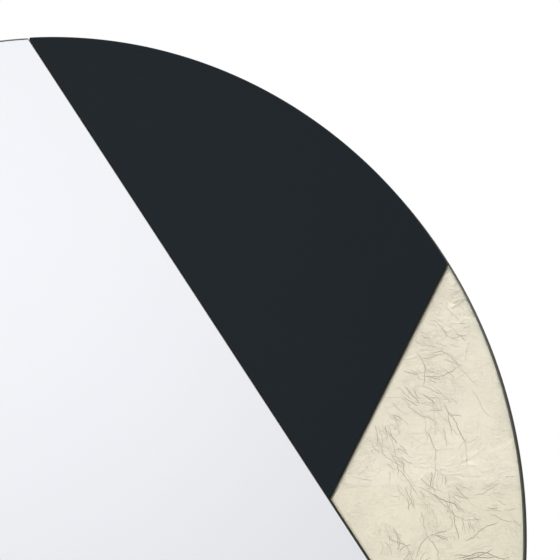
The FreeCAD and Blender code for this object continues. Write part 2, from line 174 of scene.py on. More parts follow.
def make_world():
    """A pale sky with two glows, dimmer round the bloom. The camera itself sees plain white instead."""
    world = bpy.data.worlds.new("studio")
    bpy.context.scene.world = world
    world.use_nodes = True
    tree = world.node_tree
    tree.nodes.clear()

    def node(kind, operation, inputs):
        """The number that comes out of a maths node with these inputs, linked or plain."""
        made = tree.nodes.new(kind)
        made.operation = operation
        for number, value in enumerate(inputs):
            if isinstance(value, bpy.types.NodeSocket):
                tree.links.new(value, made.inputs[number])
            else:
                made.inputs[number].default_value = value
        return made.outputs["Value"]

    towards = tree.nodes.new("ShaderNodeTexCoord").outputs["Generated"]

    def glow(direction, width, level):
        """The cosine of the angle from the direction, and a soft glow of that width round it."""
        facing = node("ShaderNodeVectorMath", "DOT_PRODUCT", [towards, direction])
        away = node("ShaderNodeMath", "SUBTRACT", [facing, 1.0])
        power = node("ShaderNodeMath", "MULTIPLY", [away, width ** -2])
        falling = node("ShaderNodeMath", "EXPONENT", [power])
        return facing, node("ShaderNodeMath", "MULTIPLY", [falling, level])

    facing, bloom = glow(BLOOM, BLOOM_WIDTH, BLOOM_LEVEL)
    _, overhead = glow(OVERHEAD, OVERHEAD_WIDTH, OVERHEAD_LEVEL)
    sky = tree.nodes.new("ShaderNodeMapRange")
    sky.interpolation_type = "SMOOTHSTEP"
    tree.links.new(facing, sky.inputs["Value"])
    cosines = {"From Min": math.cos(FAR_EDGE), "From Max": math.cos(DIM_EDGE)}
    levels = {"To Min": FAR_LEVEL, "To Max": DIM_LEVEL}
    for name, value in (cosines | levels).items():
        sky.inputs[name].default_value = value
    level = node("ShaderNodeMath", "ADD", [sky.outputs["Result"], bloom])
    level = node("ShaderNodeMath", "ADD", [level, overhead])
    light = tree.nodes.new("ShaderNodeBackground")
    light.inputs["Color"].default_value = WHITE
    tree.links.new(level, light.inputs["Strength"])
    seen = tree.nodes.new("ShaderNodeBackground")
    seen.inputs["Color"].default_value = WHITE
    path = tree.nodes.new("ShaderNodeLightPath")
    mixer = tree.nodes.new("ShaderNodeMixShader")
    tree.links.new(path.outputs["Is Camera Ray"], mixer.inputs[0])
    tree.links.new(light.outputs[0], mixer.inputs[1])
    tree.links.new(seen.outputs[0], mixer.inputs[2])
    output = tree.nodes.new("ShaderNodeOutputWorld")
    tree.links.new(mixer.outputs[0], output.inputs[0])


def make_light(name, place, size, power, in_reflections):
    """A large soft panel of light, turned to the disc."""
    light = bpy.data.lights.new(name, "AREA")
    light.size = size
    light.energy = power
    panel = bpy.data.objects.new(name, light)
    bpy.context.scene.collection.objects.link(panel)
    panel.location = place
    panel.rotation_mode = "QUATERNION"
    panel.rotation_quaternion = (disc_point(0, 0, 0) - panel.location).to_track_quat("-Z", "Y")
    panel.visible_camera = False
    panel.visible_glossy = in_reflections


def make_floor():
    """A wide pale floor, well below the mirror."""
    corners = [(-1, -1), (1, -1), (1, 1), (-1, 1)]
    points = [Vector((x * FLOOR_HALF, y * FLOOR_HALF, CENTRE_Z - FLOOR_DROP)) for x, y in corners]
    floor = make_object("floor", points, [(0, 1, 2, 3)], [floor_paint()])


# ---------------- mesh helpers
# a face looks along Y where its normal's Y is at least this
ALONG_Y = 0.9
SHARP_ANGLE = math.radians(30)
FILL_INSIDE = 1
FILL_TOLERANCE = 1e-9


def make_object(name, points, faces, materials, material_numbers=None):
    """A new mesh object. A piece with several materials gives the number of each face's own."""
    mesh = bpy.data.meshes.new(name)
    mesh.from_pydata([tuple(point) for point in points], [], faces)
    for material in materials:
        mesh.materials.append(material)
    if material_numbers is not None:
        mesh.polygons.foreach_set("material_index", material_numbers)
    mesh.update()
    made = bpy.data.objects.new(name, mesh)
    bpy.context.scene.collection.objects.link(made)
    return made


def shade_walls_smooth(piece):
    """Smooth shading on the faces that don't look along Y, and a sharp edge at every clear bend."""
    smooth = [abs(face.normal.y) < ALONG_Y for face in piece.data.polygons]
    piece.data.polygons.foreach_set("use_smooth", smooth)
    edges = piece.data.edges
    face_normals = {}
    for face in piece.data.polygons:
        for key in face.edge_keys:
            face_normals.setdefault(key, []).append(face.normal)
    sharp = []
    for edge in edges:
        normals = face_normals[edge.key]
        sharp.append(len(normals) < 2 or normals[0].dot(normals[1]) < math.cos(SHARP_ANGLE))
    edges.foreach_set("use_edge_sharp", sharp)


def looking(triangle, points, way):
    """The triangle, turned over if it doesn't look along Y that way, +1 or -1."""
    a, b, c = (points[number] for number in triangle)
    return triangle if (b - a).cross(c - a).y * way > 0 else triangle[::-1]


def filled(points, border):
    """The points and triangles that fill closed outlines, with loose points inside used as corners."""
    made = geometry.delaunay_2d_cdt(points, border, [], FILL_INSIDE, FILL_TOLERANCE)
    return made[0], made[2]


def replace_nodes(piece, slot, *nodes):
    """The piece stands for these nodes and moves with their body."""
    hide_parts(*nodes)
    body = frame["nodes"][nodes[0]]["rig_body"]
    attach(piece, body)


# ---------------- outlines of the panels
def unit(angle):
    """The direction (x, z) at that angle above level, in radians."""
    return Vector((math.cos(angle), math.sin(angle)))


def chord_line():
    """The long joint: the angle of its normal, away from the mirror panel, and its offset from the middle."""
    normal = math.radians((CHORD_TOP + CHORD_LOW) / 2)
    return normal, RADIUS * math.cos(math.radians(CHORD_TOP - CHORD_LOW) / 2)


def divider_line():
    """The short joint between the black and the leaf panel, in the same terms."""
    top = unit(math.radians(CHORD_TOP)) * RADIUS
    low = unit(math.radians(CHORD_LOW)) * RADIUS
    junction = top.lerp(low, DIVIDER_SHARE)
    way = unit(math.radians(DIVIDER_ARC)) * RADIUS - junction
    normal = math.atan2(way.y, way.x) - math.pi / 2
    return normal, junction.dot(unit(normal))


CHORD = chord_line()
DIVIDER = divider_line()
# Each panel: its straight sides anticlockwise as (line, sign of its own side), and the radius of its rim.
PANELS = {
    "mirror": ([(CHORD, -1)], RADIUS),
    "black": ([(CHORD, 1), (DIVIDER, -1)], BLACK_RADIUS),
    "leaf": ([(DIVIDER, 1), (CHORD, 1)], RADIUS),
}


def inner_side(line, sign, inset):
    """A side moved into its panel: its outward normal's angle and its signed distance from the middle."""
    normal, offset = line
    if sign > 0:
        return normal + math.pi, -(offset + PANEL_GAP / 2 + inset)
    return normal, offset - PANEL_GAP / 2 - inset


def on_circle(side, radius, ahead):
    """Where a side starts on the circle, or with ahead where it ends, going anticlockwise round the panel."""
    normal, offset = side
    along = math.sqrt(radius ** 2 - offset ** 2)
    return unit(normal) * offset + unit(normal + math.pi / 2) * (along if ahead else -along)


def crossing(first, second):
    """Where two sides cross."""
    scale = math.sin(second[0] - first[0])
    x = (first[1] * math.sin(second[0]) - second[1] * math.sin(first[0])) / scale
    y = (second[1] * math.cos(first[0]) - first[1] * math.cos(second[0])) / scale
    return Vector((x, y))


def turn_between(start, end):
    """The angle from start to end, anticlockwise."""
    return (end - start) % (2 * math.pi)


def panel_outline(panel, inset):
    """The panel's outline in (x, z) with rounded corners, moved in. It has as many points at every inset."""
    sides, rim = PANELS[panel]
    inner = [inner_side(line, sign, CORNER_RADIUS) for line, sign in sides]
    rounding = CORNER_RADIUS - inset
    middles = [on_circle(inner[0], rim - CORNER_RADIUS, False)]
    middles += [crossing(first, second) for first, second in zip(inner, inner[1:])]
    middles.append(on_circle(inner[-1], rim - CORNER_RADIUS, True))
    normals = [side[0] for side in inner]
    arrivals = [math.atan2(middles[0].y, middles[0].x)] + normals
    departures = normals + [math.atan2(middles[-1].y, middles[-1].x)]
    points = []
    for middle, arrival, departure in zip(middles, arrivals, departures):
        turn = turn_between(arrival, departure)
        for step in range(CORNER_STEPS + 1):
            points.append(middle + unit(arrival + turn * step / CORNER_STEPS) * rounding)
    sweep = turn_between(departures[-1], arrivals[0])
    steps = math.ceil(sweep / RIM_STEP)
    for step in range(1, steps):
        points.append(unit(departures[-1] + sweep * step / steps) * (rim - inset))
    return points


def stack_of_rings(rings, middle):
    """A closed solid through (outline, y) rings, front first, with a fan about the middle on each end."""
    points = []
    for outline, y in rings:
        points += [disc_point(point.x, point.y, y) for point in outline]
    count = len(rings[0][0])
    points.append(disc_point(middle.x, middle.y, rings[0][1]))
    points.append(disc_point(middle.x, middle.y, rings[-1][1]))
    front, back = len(points) - 2, len(points) - 1
    last = (len(rings) - 1) * count
    faces = []
    kinds = []
    for here in range(count):
        there = (here + 1) % count
        faces.append((front, here, there))
        kinds.append("front")
        for level in range(len(rings) - 1):
            start = level * count
            faces.append((start + here, start + count + here, start + count + there, start + there))
            kinds.append("side")
        faces.append((back, last + there, last + here))
        kinds.append("back")
    return points, faces, kinds


def glass_pane(panel, front_finish, side_finish, back_finish):
    """A pane with rounded corners and a ground arris round both faces."""
    rings = [
        (panel_outline(panel, ARRIS), GLASS_FRONT),
        (panel_outline(panel, 0.0), GLASS_FRONT + ARRIS),
        (panel_outline(panel, 0.0), GLASS_BACK - ARRIS),
        (panel_outline(panel, ARRIS), GLASS_BACK - FACE_CLEARANCE),
    ]
    outline = rings[0][0]
    middle = sum(outline, Vector((0, 0))) / len(outline)
    points, faces, kinds = stack_of_rings(rings, middle)
    order = ["front", "side", "back"]
    numbers = [order.index(kind) for kind in kinds]
    pane = make_object(f"{panel}_pane", points, faces, [front_finish, side_finish, back_finish], numbers)
    shade_walls_smooth(pane)
    replace_nodes(pane, f"{panel}_glass", f"{panel}_glass")


# ---------------- finishes
# the leaf's own colours: plain, in clouds, in fine specks and below the seam; then painted shade by the rim,
# painted shade in its creases and folds, and a painted highlight beside the folds
LEAF_LIGHT = (1.0, 0.920, 0.765)
LEAF_DEEP = (0.96, 0.88, 0.725)
LEAF_GREY = (0.80, 0.765, 0.625)
LEAF_WARM = (0.90, 0.83, 0.64)
LEAF_RIM_SHADE = (0.92, 0.89, 0.74)
LEAF_CREASE_SHADE = (0.24, 0.18, 0.09)
LEAF_HIGHLIGHT = (1.0, 0.985, 0.88)


NOISE_LOW = 0.3
NOISE_HIGH = 0.7
# the Mix node's sockets for colours: factor, first and second, and the result
MIX_COLOUR_INPUTS = (0, 6, 7)
MIX_COLOUR_OUTPUT = 2


class Finish:
    """A procedural material. Its patterns read the piece's own coordinates, in metres."""

    def __init__(self, name):
        self.material = bpy.data.materials.new(name)
        self.material.use_nodes = True
        self.tree = self.material.node_tree
        self.shader = next(node for node in self.tree.nodes if node.type == "BSDF_PRINCIPLED")
        self.place = self.tree.nodes.new("ShaderNodeTexCoord").outputs["Object"]

    def feed(self, socket, value):
        """Links the value to the socket if it comes from a node, and otherwise sets it."""
        if isinstance(value, bpy.types.NodeSocket):
            self.tree.links.new(value, socket)
        elif isinstance(value, tuple) and len(value) == 3 and socket.type == "RGBA":
            socket.default_value = (*value, 1.0)
        else:
            socket.default_value = value

    def shade(self, **values):
        """Sets the shader's sockets, named with underscores for spaces. Returns the finished material."""
        for name, value in values.items():
            self.feed(self.shader.inputs[name.replace("_", " ")], value)
        return self.material

    def stretched(self, stretch, turn=(0.0, 0.0, 0.0)):
        """Coordinates squeezed along each axis by its factor, after a turn in degrees."""
        mapping = self.tree.nodes.new("ShaderNodeMapping")
        self.feed(mapping.inputs["Vector"], self.place)
        mapping.inputs["Rotation"].default_value = [math.radians(angle) for angle in turn]
        mapping.inputs["Scale"].default_value = stretch
        return mapping.outputs["Vector"]

    def noise(self, per_metre, detail=3.0, roughness=0.5, distortion=0.0, place=None):
        """Soft noise. It seldom leaves the range from NOISE_LOW to NOISE_HIGH."""
        texture = self.tree.nodes.new("ShaderNodeTexNoise")
        numbers = {"Scale": per_metre, "Detail": detail, "Roughness": roughness, "Distortion": distortion}
        for socket, value in numbers.items():
            self.feed(texture.inputs[socket], value)
        self.feed(texture.inputs["Vector"], place or self.place)
        return texture.outputs["Fac"]

    def cells(self, per_metre):
        """The distance to the nearest of many scattered points."""
        texture = self.tree.nodes.new("ShaderNodeTexVoronoi")
        self.feed(texture.inputs["Vector"], self.place)
        self.feed(texture.inputs["Scale"], per_metre)
        return texture.outputs["Distance"]

    def spread(self, value, low, high, start=0.0, end=1.0, smooth=False):
        """The value's range from low to high, moved to the range from start to end."""
        ranged = self.tree.nodes.new("ShaderNodeMapRange")
        if smooth:
            ranged.interpolation_type = "SMOOTHSTEP"
        names = ("Value", "From Min", "From Max", "To Min", "To Max")
        for name, part in zip(names, (value, low, high, start, end)):
            self.feed(ranged.inputs[name], part)
        return ranged.outputs["Result"]

    def between(self, noise, start=0.0, end=1.0):
        """The usual range of noise, moved to the range from start to end."""
        return self.spread(noise, NOISE_LOW, NOISE_HIGH, start, end)

    def maths(self, operation, first, second=0.0):
        made = self.tree.nodes.new("ShaderNodeMath")
        made.operation = operation
        self.feed(made.inputs[0], first)
        self.feed(made.inputs[1], second)
        return made.outputs[0]

    def blend(self, factor, first, second):
        """The first colour at 0 and the second at 1."""
        mixer = self.tree.nodes.new("ShaderNodeMix")
        mixer.data_type = "RGBA"
        for number, value in zip(MIX_COLOUR_INPUTS, (factor, first, second)):
            self.feed(mixer.inputs[number], value)
        return mixer.outputs[MIX_COLOUR_OUTPUT]

    def bump(self, height, depth):
        """Small relief of that depth in metres."""
        made = self.tree.nodes.new("ShaderNodeBump")
        for socket, value in {"Strength": 1.0, "Distance": depth, "Height": height}.items():
            self.feed(made.inputs[socket], value)
        return made.outputs["Normal"]

    def attribute(self, name):
        """A number that the mesh holds at its points."""
        made = self.tree.nodes.new("ShaderNodeAttribute")
        made.attribute_name = name
        return made.outputs["Fac"]

    def axis(self, letter):
        """One of the piece's own coordinates."""
        parts = self.tree.nodes.new("ShaderNodeSeparateXYZ")
        self.feed(parts.inputs[0], self.place)
        return parts.outputs[letter]


def floor_paint():
    """Matt grey with faint clouds."""
    finish = Finish("pale_floor")
    cloud = finish.noise(1.5, 4.0)
    return finish.shade(
        Base_Color=finish.blend(cloud, (0.40, 0.40, 0.40), (0.43, 0.43, 0.43)),
        Roughness=finish.between(cloud, 0.6, 0.75),
    )


def clear_glass(name, tint, deeper_tint):
    """Float glass with faint draw lines and a slight change of tint."""
    finish = Finish(name)
    draw = finish.noise(14.0, 2.0, place=finish.stretched((1.0, 1.0, 0.25)))
    return finish.shade(
        Base_Color=finish.blend(draw, tint, deeper_tint),
        Roughness=finish.spread(finish.noise(60.0), 0.45, 0.8, 0.0, 0.012),
        IOR=1.52,
        Transmission_Weight=1.0,
        Normal=finish.bump(draw, 0.000002),
    )


def silver_coat():
    """The faintly blue silver on the back of the mirror panel."""
    finish = Finish("silver_coat")
    cloud = finish.noise(5.0, 3.0)
    return finish.shade(
        Base_Color=finish.blend(cloud, (0.886, 0.887, 0.930), (0.896, 0.896, 0.936)),
        Metallic=1.0,
        Roughness=finish.between(cloud, 0.01, 0.02),
        Normal=finish.bump(finish.noise(9.0, 2.0), 0.000004),
    )


CHIP_COLOUR = (0.42, 0.46, 0.42)


def ground_edge(name, dark, light, gloss):
    """The ground rim of a pane: dull, with the wheel's lines along it and tiny bright chips. Its dark colours
    are partly the edge's own and partly painted shade from the joints.
    """
    finish = Finish(name)
    lines = finish.noise(900.0, 3.0, place=finish.stretched((0.12, 1.0, 0.12)))
    chips = finish.spread(finish.cells(1400.0), 0.04, 0.16, 1.0, 0.0)
    colour = finish.blend(lines, dark, light)
    return finish.shade(
        Base_Color=finish.blend(finish.maths("MULTIPLY", chips, 0.35), colour, CHIP_COLOUR),
        Roughness=finish.between(lines, 0.42, 0.62),
        Specular_IOR_Level=gloss,
        Normal=finish.bump(finish.maths("ADD", lines, chips), 0.00003),
    )


def black_glass():
    """Glass painted black behind, so dark and even that only its gloss shows."""
    finish = Finish("black_gloss")
    cloud = finish.noise(7.0, 3.0)
    return finish.shade(
        Base_Color=finish.blend(cloud, (0.0006, 0.0032, 0.0056), (0.0011, 0.0040, 0.0067)),
        Roughness=finish.spread(finish.noise(45.0), 0.4, 0.8, 0.015, 0.04),
        IOR=1.5,
        Specular_IOR_Level=0.2,
        Normal=finish.bump(finish.noise(12.0, 2.0), 0.000003),
    )


def veins(finish, per_metre, width, stretch, turn):
    """Thin lines that wander, fade and come back: 1 on a line, 0 off it."""
    field = finish.noise(per_metre, 2.0, 0.5, 1.2, finish.stretched(stretch, (0.0, turn, 0.0)))
    off_line = finish.maths("ABSOLUTE", finish.maths("SUBTRACT", field, 0.5))
    line = finish.spread(off_line, 0.0, width, 1.0, 0.0, smooth=True)
    turned = finish.stretched((1.0, 1.0, 1.0), (0.0, turn, 0.0))
    patches = finish.noise(per_metre * 0.35, 2.0, place=turned)
    return finish.maths("MULTIPLY", line, finish.spread(patches, 0.42, 0.62))


# how high the soft ripples stand beside the leaf's fine grain
RIPPLE_SHARE = 4.5


def leaf_metal():
    """Creased metal leaf. The attribute "fold" is positive on a line of painted shade and negative on a line
    of painted highlight.
    """
    finish = Finish("leaf_metal")
    cloud = finish.noise(16.0, 5.0, 0.6, 0.6)
    fine = finish.noise(190.0, 4.0, 0.6, 1.2)
    ripples = finish.noise(75.0, 3.0, 0.55, 1.6, finish.stretched((0.6, 1.0, 1.0), (0.0, 25.0, 0.0)))
    rippled = finish.spread(finish.noise(13.0, 2.0), 0.42, 0.62, 0.15, 1.0, smooth=True)
    colour = finish.blend(finish.between(cloud), LEAF_LIGHT, LEAF_DEEP)
    colour = finish.blend(finish.spread(fine, 0.35, 0.75, 0.0, 0.28), colour, LEAF_GREY)
    # below the seam the leaf is a little darker and warmer, with a ragged edge
    ragged = finish.spread(finish.noise(90.0), 0.0, 1.0, -4 * MM, 4 * MM)
    height_here = finish.maths("ADD", finish.axis("Z"), ragged)
    lower = finish.spread(height_here, SEAM_Z - 2 * MM, SEAM_Z + 2 * MM, 0.35, 0.0)
    colour = finish.blend(lower, colour, LEAF_WARM)
    # painted shade: close to the rim the leaf is duller, darker and greener, for the look of the glass edge
    rim = finish.tree.nodes.new("ShaderNodeVectorMath")
    rim.operation = "DISTANCE"
    finish.feed(rim.inputs[0], finish.place)
    rim.inputs[1].default_value = disc_point(0, 0, GLASS_BACK)
    rim_shade = finish.spread(rim.outputs["Value"], RADIUS - 6 * MM, RADIUS - 2 * MM, 0.0, 0.8, smooth=True)
    colour = finish.blend(rim_shade, colour, LEAF_RIM_SHADE)
    wrinkles = veins(finish, 150.0, 0.022, (0.3, 1.0, 1.0), 32.0)
    crossing_wrinkles = veins(finish, 170.0, 0.02, (0.35, 1.0, 1.0), -22.0)
    steep_wrinkles = veins(finish, 130.0, 0.02, (0.3, 1.0, 1.0), 66.0)
    lines = finish.maths("MAXIMUM", wrinkles, crossing_wrinkles)
    lines = finish.maths("MAXIMUM", lines, steep_wrinkles)
    # painted shade in the fine wrinkles
    colour = finish.blend(finish.maths("MULTIPLY", lines, 0.13), colour, LEAF_CREASE_SHADE)
    fold = finish.attribute("fold")
    # painted shade along the folds' dark flanks, and a painted highlight beside them
    colour = finish.blend(finish.spread(fold, 0.0, 0.8, 0.0, 1.0), colour, LEAF_CREASE_SHADE)
    colour = finish.blend(finish.spread(fold, 0.0, -1.0, 0.0, 1.0), colour, LEAF_HIGHLIGHT)
    height = finish.maths("ADD", fine, finish.maths("MULTIPLY", lines, 0.6))
    ripples = finish.maths("MULTIPLY", finish.maths("MULTIPLY", ripples, rippled), RIPPLE_SHARE)
    height = finish.maths("ADD", height, ripples)
    return finish.shade(
        Base_Color=colour,
        Metallic=0.35,
        Roughness=finish.between(cloud, 0.46, 0.58),
        Normal=finish.bump(height, 0.0004),
    )


def plastic(name, dark, light, grain, roughness, relief, per_metre=900.0):
    """A plain moulded or extruded plastic or rubber, with a fine grain."""
    finish = Finish(name)
    speckle = finish.noise(per_metre, 4.0, 0.6)
    cloud = finish.noise(per_metre / 12, 2.0)
    colour = finish.blend(cloud, dark, light)
    return finish.shade(
        Base_Color=finish.blend(finish.between(speckle, 0.0, grain), colour, light),
        Roughness=finish.between(speckle, roughness - 0.06, roughness + 0.06),
        Normal=finish.bump(speckle, relief),
    )


def board_face():
    """Black laminate: leathery fine relief, dust and a few light rubs."""
    finish = Finish("black_laminate")
    grain = finish.cells(420.0)
    dust = finish.spread(finish.noise(700.0, 5.0, 0.7), 0.62, 0.75, 0.0, 0.5)
    strokes = finish.noise(60.0, 4.0, 0.6, 0.0, finish.stretched((0.08, 1.0, 1.6), (0.0, 27.0, 0.0)))
    rubs = finish.spread(strokes, 0.66, 0.74, 0.0, 0.35)
    cloud = finish.noise(4.0, 4.0)
    colour = finish.blend(finish.between(cloud), (0.010, 0.010, 0.011), (0.026, 0.026, 0.027))
    colour = finish.blend(finish.maths("MAXIMUM", dust, rubs), colour, (0.10, 0.10, 0.097))
    return finish.shade(
        Base_Color=colour,
        Roughness=finish.between(cloud, 0.48, 0.62),
        Specular_IOR_Level=0.3,
        Normal=finish.bump(finish.maths("ADD", grain, finish.maths("MULTIPLY", cloud, 2.0)), 0.00008),
    )


def band_plastic():
    """The edge band: dark grey plastic with fine lines along it."""
    finish = Finish("edge_band_plastic")
    lines = finish.noise(1500.0, 3.0, place=finish.stretched((0.02, 1.0, 0.02)))
    cloud = finish.noise(30.0, 3.0)
    colour = finish.blend(cloud, (0.012, 0.011, 0.009), (0.020, 0.019, 0.015))
    return finish.shade(
        Base_Color=finish.blend(finish.spread(lines, 0.4, 0.8, 0.0, 0.5), colour, (0.032, 0.030, 0.025)),
        Roughness=finish.between(lines, 0.55, 0.68),
        Specular_IOR_Level=0.02,
        Normal=finish.bump(lines, 0.00002),
    )


def mill_aluminium():
    """Extruded aluminium: drawn lines along X, faint stains, and small scuffs across them."""
    finish = Finish("mill_aluminium")
    lines = finish.noise(2600.0, 4.0, 0.6, place=finish.stretched((0.006, 1.0, 1.0)))
    broad = finish.noise(420.0, 2.0, place=finish.stretched((0.01, 1.0, 1.0)))
    stain = finish.noise(35.0, 5.0, 0.6)
    strokes = finish.noise(300.0, 3.0, 0.6, 0.4, finish.stretched((1.0, 1.0, 0.07), (0.0, 15.0, 0.0)))
    scuffs = finish.spread(strokes, 0.66, 0.75, 0.0, 0.6)
    colour = finish.blend(lines, (0.38, 0.39, 0.40), (0.56, 0.57, 0.58))
    colour = finish.blend(finish.spread(stain, 0.4, 0.75, 0.0, 0.5), colour, (0.30, 0.30, 0.29))
    colour = finish.blend(scuffs, colour, (0.70, 0.70, 0.70))
    drawn = finish.between(broad, 0.26, 0.38)
    return finish.shade(
        Base_Color=colour,
        Metallic=1.0,
        Roughness=finish.maths("ADD", drawn, finish.maths("MULTIPLY", scuffs, 0.2)),
        Normal=finish.bump(finish.maths("ADD", lines, broad), 0.00003),
    )


def zinc_plate():
    """Bright zinc plate with a blue to yellow cast and small crystals."""
    finish = Finish("zinc_plate")
    cast = finish.noise(260.0, 3.0)
    crystals = finish.cells(3200.0)
    return finish.shade(
        Base_Color=finish.blend(cast, (0.62, 0.66, 0.72), (0.78, 0.76, 0.66)),
        Metallic=1.0,
        Roughness=finish.spread(crystals, 0.0, 0.6, 0.2, 0.36),
        Normal=finish.bump(crystals, 0.00002),
    )


def hardboard():
    """Brown hardboard: pressed fibres in all directions, some lighter and some darker."""
    finish = Finish("hardboard_fibres")
    fibres = finish.noise(900.0, 5.0, 0.65, 1.5, finish.stretched((0.25, 1.0, 1.0), (0.0, 30.0, 0.0)))
    across = finish.noise(900.0, 5.0, 0.65, 1.5, finish.stretched((1.0, 1.0, 0.25), (0.0, 20.0, 0.0)))
    both = finish.maths("MAXIMUM", fibres, across)
    cloud = finish.between(finish.noise(25.0), 0.0, 0.4)
    colour = finish.blend(finish.spread(both, 0.4, 0.75), (0.13, 0.070, 0.035), (0.33, 0.20, 0.11))
    return finish.shade(
        Base_Color=finish.blend(cloud, colour, (0.20, 0.12, 0.065)),
        Roughness=finish.spread(both, 0.3, 0.8, 0.62, 0.8),
        Normal=finish.bump(both, 0.00006),
    )


def silicone():
    """Milky silicone, a little see-through, with a smooth skin."""
    finish = Finish("clear_silicone")
    cloud = finish.noise(150.0, 3.0)
    return finish.shade(
        Base_Color=finish.blend(cloud, (0.62, 0.63, 0.62), (0.74, 0.75, 0.73)),
        Roughness=finish.between(cloud, 0.2, 0.35),
        Subsurface_Weight=0.3,
        Subsurface_Radius=(0.002, 0.002, 0.002),
        Normal=finish.bump(finish.noise(400.0, 2.0), 0.00005),
    )


# ---------------- the metal leaf
# the level seam where the upper sheet of leaf laps the lower, above the disc's middle and in the frame
SEAM_UP = 46 * MM
SEAM_Z = CENTRE_Z + SEAM_UP
SEAM_STEP = 0.02 * MM
LEAF_FRONT = GLASS_BACK + 0.02 * MM
# the foil's back stays this far clear of the film behind it
LEAF_CLEARANCE = 0.01 * MM
# the foil's points lie in staggered rows, each moved at random by up to this share of the grid
LEAF_GRID = 1.5 * MM
ROW_SHARE = 0.866
GRID_JITTER = 0.15
FOLD_STEP = 1.5 * MM
FOLD_RISE = 0.09 * MM
FOLD_SINK = 0.03 * MM
FOLD_MARGIN = 0.8 * MM
SWELL_DEPTH = 0.06 * MM
# the waves that make up the swell: how many, their shortest and longest in mm, and how size goes with length
SWELL_WAVES = 36
SWELL_SHORT = 3.5
SWELL_LONG = 38
SWELL_POWER = 0.6
SWELL_GAIN = 2.2
# a fold's half width in mm, and what its strength adds to that
FOLD_HALF_WIDTH = 0.4
LONG_WIDENING = 0.35
WRINKLE_WIDENING = 0.45
LONG_SHADE = 0.75
# the height of the faintest fold as a share of the full rise, and how fast a fold widens from its ends
FAINTEST_RISE = 0.4
TAPER_START = 0.15
TAPER_SLOPE = 1.6
# across a fold: place from foot to foot, height, and the "fold" attribute, positive for painted shade and
# negative for a painted highlight
FOLD_SECTION = [(-1.0, 0.0, 0.0), (-0.6, 0.7, 1.0), (0.0, 1.0, 1.0), (0.3, 0.8, -0.6), (1.0, 0.0, 0.0)]

# Long folds: start in mm from the disc's middle, heading in degrees, length in mm, bend in degrees, strength.
LONG_FOLDS = [
    (425, 220, -50, 25, 20, 0.5), (410, 205, -35, 30, -15, 0.6), (450, 185, -100, 25, 10, 0.4),
    (395, 175, -20, 40, -20, 0.8), (435, 165, -60, 35, 20, 0.5), (400, 150, -15, 45, 15, 0.9),
    (450, 140, -75, 40, -20, 0.5), (385, 125, -30, 40, 15, 0.7), (425, 120, -60, 45, -15, 0.9),
    (370, 105, -55, 35, 15, 0.6), (405, 100, -70, 40, -10, 0.7), (360, 80, -35, 35, 15, 0.6),
    (445, 95, -80, 35, 10, 0.5), (375, 65, -60, 40, -15, 0.7), (415, 70, -75, 35, 15, 0.6),
    (395, 45, -20, 45, -25, 0.7), (410, 40, -35, 40, 20, 1.0), (450, 35, -5, 35, 10, 0.7),
    (430, 25, -50, 35, -10, 0.8), (465, 20, -35, 30, 15, 0.6), (405, 5, -80, 35, -10, 0.7),
    (440, -5, -15, 45, 15, 0.8), (380, -5, -65, 35, 10, 0.6), (430, -25, 20, 60, 20, 1.0),
    (395, -25, 60, 30, -20, 0.7),
]
# Bundles of wrinkles: middle in mm, heading in degrees, length in mm, half the number of wrinkles less one,
# spacing in mm, strength.
BUNDLES = [
    (438, 224, 20, 13, 5, 2.2, 0.5), (427, 222, -35, 10, 3, 2.4, 0.2), (412, 192, -30, 14, 4, 3.0, 0.3),
    (441, 191, -4, 16, 5, 2.6, 0.5), (404, 180, -55, 14, 4, 2.8, 0.4), (421, 171, -10, 26, 6, 2.4, 0.5),
    (430, 160, -20, 18, 6, 2.2, 0.45), (400, 160, -12, 26, 4, 3.0, 0.45), (441, 150, -14, 18, 5, 2.6, 0.3),
    (392, 149, -10, 24, 4, 2.5, 0.5), (418, 146, -28, 22, 8, 2.2, 0.5), (391, 134, -44, 18, 6, 2.4, 0.5),
    (433, 138, -15, 20, 6, 2.6, 0.3), (412, 124, -22, 24, 5, 2.6, 0.45), (376, 118, -20, 22, 5, 2.2, 0.5),
    (421, 109, -58, 30, 6, 3.0, 0.5), (373, 98, -58, 16, 6, 2.6, 0.6), (366, 87, -40, 22, 7, 1.9, 0.45),
    (381, 76, -32, 16, 6, 1.8, 0.5), (417, 90, -66, 24, 4, 2.6, 0.45), (452, 80, -105, 24, 4, 4.0, 0.3),
    (379, 62, -60, 22, 6, 1.9, 0.55), (387, 38, -76, 28, 4, 2.2, 0.5), (416, 50, -58, 20, 7, 2.0, 0.6),
    (409, 35, -32, 30, 6, 2.2, 0.55), (438, 35, -45, 18, 6, 2.0, 0.5), (432, 20, -48, 26, 5, 2.2, 0.5),
    (452, 29, -5, 22, 4, 2.5, 0.4), (470, 41, 0, 20, 5, 2.6, 0.4), (474, 27, -30, 11, 8, 1.8, 0.5),
    (448, 8, -75, 14, 5, 2.5, 0.45), (456, 13, 8, 22, 3, 3.0, 0.4), (411, 9, -80, 20, 6, 2.4, 0.45),
    (422, -2, 6, 20, 5, 1.8, 0.55), (372, -8, -70, 24, 6, 2.4, 0.5), (390, -20, 58, 16, 6, 2.3, 0.45),
    (410, -26, 70, 16, 6, 2.4, 0.45), (457, -22, 20, 38, 7, 2.0, 0.6), (489, 4, -65, 20, 4, 2.5, 0.4),
    (485, 22, -5, 12, 4, 3.2, 0.35), (480, 56, 6, 18, 3, 4.0, 0.35), (345, 52, -5, 20, 3, 2.6, 0.3),
    (352, 70, -65, 18, 2, 3.0, 0.3),
]
# More bundles lie at random below these, from the foot of the leaf up to LOW_TOP mm above the disc's middle.
LOW_BUNDLES = 40
LOW_TOP = -32
# How much a line turns at random with each step, in radians: from there on, and in that step alone.
LINE_WANDER = 0.12
LINE_KINK = 0.2
